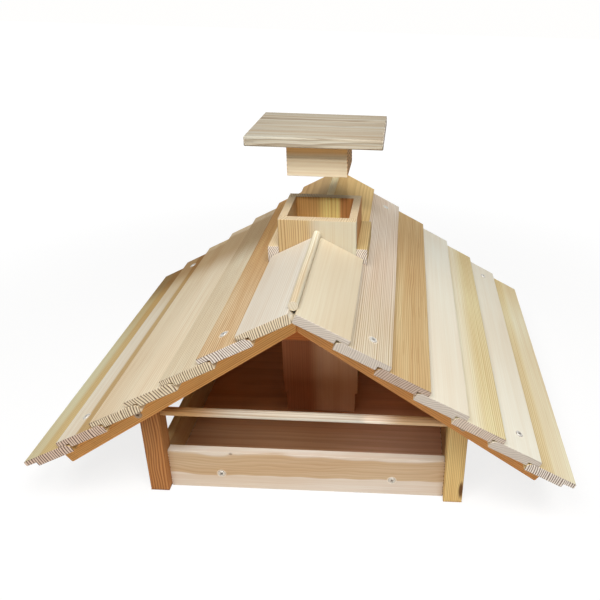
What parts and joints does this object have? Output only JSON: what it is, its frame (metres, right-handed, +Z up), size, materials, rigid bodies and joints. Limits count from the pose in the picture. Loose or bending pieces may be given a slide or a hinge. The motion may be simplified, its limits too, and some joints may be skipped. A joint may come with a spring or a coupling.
{
  "type": "bird table",
  "caption": "Wooden bird table: open tray on corner posts under a lapped-board gable roof, with a square seed silo rising through the ridge and a lift-off plugged lid.",
  "frame": {"origin": "centre of the box round the whole part, at the level of the posts' feet", "axes": "+X to the right across the gable, +Y back along the ridge, +Z up"},
  "size_m": [0.72, 0.55, 0.4762],
  "materials": {
    "roof_boards": "planed, untreated",
    "larch_rafter": "planed, untreated",
    "post_wood": "planed, untreated",
    "dowel_wood": "turned, untreated",
    "silo_wood": "planed, untreated",
    "tray_wood": "planed, untreated",
    "lid_wood": "planed, untreated",
    "screw_steel": "zinc plated"
  },
  "bodies": {
    "house": {"apex_block_front": "tray_wood", "apex_block_rear": "tray_wood", "perch_front": "dowel_wood", "perch_rear": "dowel_wood", "post_front_left": "post_wood", "post_front_right": "post_wood", "post_rear_left": "post_wood", "post_rear_right": "post_wood", "rafter_front_left": "larch_rafter", "rafter_front_right": "larch_rafter", "rafter_rear_left": "larch_rafter", "rafter_rear_right": "larch_rafter", "rafter_screws": "screw_steel", "ridge_board_front_left": "roof_boards", "ridge_board_front_right": "roof_boards", "ridge_board_rear_left": "roof_boards", "ridge_board_rear_right": "roof_boards", "ridge_rod_front": "dowel_wood", "ridge_rod_rear": "dowel_wood", "roof_left_2": "roof_boards", "roof_left_3": "roof_boards", "roof_left_4": "roof_boards", "roof_left_5": "roof_boards", "roof_left_6": "roof_boards", "roof_left_7": "roof_boards", "roof_right_2": "roof_boards", "roof_right_3": "roof_boards", "roof_right_4": "roof_boards", "roof_right_5": "roof_boards", "roof_right_6": "roof_boards", "roof_right_7": "roof_boards", "roof_screws": "screw_steel", "silo_front_board": "silo_wood", "silo_left_board": "silo_wood", "silo_rear_board": "silo_wood", "silo_right_board": "silo_wood", "silo_strip_left": "silo_wood", "silo_strip_right": "silo_wood", "tray_floor": "tray_wood", "tray_front_board": "tray_wood", "tray_left_board": "tray_wood", "tray_rear_board": "tray_wood", "tray_right_board": "tray_wood", "tray_screws": "screw_steel"},
    "lid": {"lid_cover": "lid_wood", "lid_plug": "lid_wood"}
  },
  "joints": [
    {"name": "lid_lift", "type": "slide", "parent": "house", "child": "lid", "axis": [0, 0, 1], "range_m": [-0.11, 0]}
  ]
}
